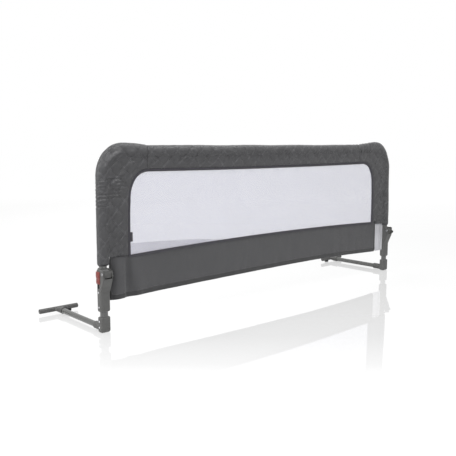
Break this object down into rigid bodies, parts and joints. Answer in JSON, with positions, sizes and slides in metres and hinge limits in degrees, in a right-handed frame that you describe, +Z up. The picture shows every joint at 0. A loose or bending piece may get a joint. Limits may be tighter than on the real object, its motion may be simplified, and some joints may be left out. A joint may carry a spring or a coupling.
{
  "type": "folding bed guard rail",
  "caption": "Folding bed guard rail: tube frame in a quilted cover with a mesh window, on two hinged feet with red releases and arms that go under the mattress.",
  "frame": {"origin": "on the floor, at the middle of the part's length and depth", "axes": "+X along the rail to its right end as seen from the room, +Y from the rail towards the mattress, +Z up"},
  "size_m": [1.404, 0.3038, 0.506],
  "materials": {
    "painted_tube": "glossy warm grey powder coat",
    "grey_plastic": "satin moulded plastic with a fine grain",
    "red_plastic": "satin moulded plastic",
    "zinc": "bright zinc plate",
    "rubber": "matt",
    "quilted_cloth": "plain woven cloth quilted in diamonds over wadding",
    "plain_cloth": "plain woven cloth",
    "binding_tape": "woven tape",
    "mesh_cloth": "fine see-through knitted mesh",
    "satin_strip": "pale satin cloth"
  },
  "bodies": {
    "left_foot": {"left_crossbar": "grey_plastic", "left_crossbar_pad": "rubber", "left_foot_arm": "painted_tube", "left_elbow_bracket": "grey_plastic", "left_elbow_rivet_1": "zinc", "left_elbow_rivet_2": "zinc", "left_leg_tube": "painted_tube", "left_hinge_casing": "grey_plastic", "left_casing_rivet_1": "zinc", "left_casing_rivet_2": "zinc", "left_hinge_pin": "zinc", "left_button_spring": "zinc"},
    "left_release": {"left_release_button": "red_plastic", "left_lock_bolt": "zinc"},
    "rail": {"left_hinge_knuckle": "grey_plastic", "left_post_pin": "zinc", "left_top_pin": "zinc", "left_corner_tube": "painted_tube", "left_corner_cover": "quilted_cloth", "right_hinge_knuckle": "grey_plastic", "right_post_pin": "zinc", "right_top_pin": "zinc", "right_corner_tube": "painted_tube", "right_corner_cover": "quilted_cloth", "top_tube": "painted_tube", "top_cover": "quilted_cloth", "window_binding": "binding_tape", "window_net": "mesh_cloth", "skirt": "plain_cloth", "end_strip": "satin_strip", "edge_tab": "binding_tape"},
    "right_foot": {"right_crossbar": "grey_plastic", "right_crossbar_pad": "rubber", "right_foot_arm": "painted_tube", "right_elbow_bracket": "grey_plastic", "right_elbow_rivet_1": "zinc", "right_elbow_rivet_2": "zinc", "right_leg_tube": "painted_tube", "right_hinge_casing": "grey_plastic", "right_casing_rivet_1": "zinc", "right_casing_rivet_2": "zinc", "right_hinge_pin": "zinc", "right_button_spring": "zinc"},
    "right_release": {"right_release_button": "red_plastic", "right_lock_bolt": "zinc"}
  },
  "joints": [
    {"name": "fold", "type": "hinge", "parent": "left_foot", "child": "rail", "pos_m": [-0.64, -0.14138, 0.163], "axis": [1, 0, 0], "range_deg": [0, 180]},
    {"name": "right_foot_fold", "type": "hinge", "parent": "rail", "child": "right_foot", "pos_m": [0.64, -0.14138, 0.163], "axis": [1, 0, 0], "range_deg": [-180, 0]},
    {"name": "left_release_slide", "type": "slide", "parent": "left_foot", "child": "left_release", "axis": [0, 0, -1], "range_m": [0, 0.008], "stiffness_N_per_m": 500, "springref_m": -0.006, "deforming": ["left_button_spring"]},
    {"name": "right_release_slide", "type": "slide", "parent": "right_foot", "child": "right_release", "axis": [0, 0, -1], "range_m": [0, 0.008], "stiffness_N_per_m": 500, "springref_m": -0.006, "deforming": ["right_button_spring"]}
  ],
  "couplings": [
    {"joint": "right_foot_fold", "follows": "fold", "ratio": -1}
  ]
}
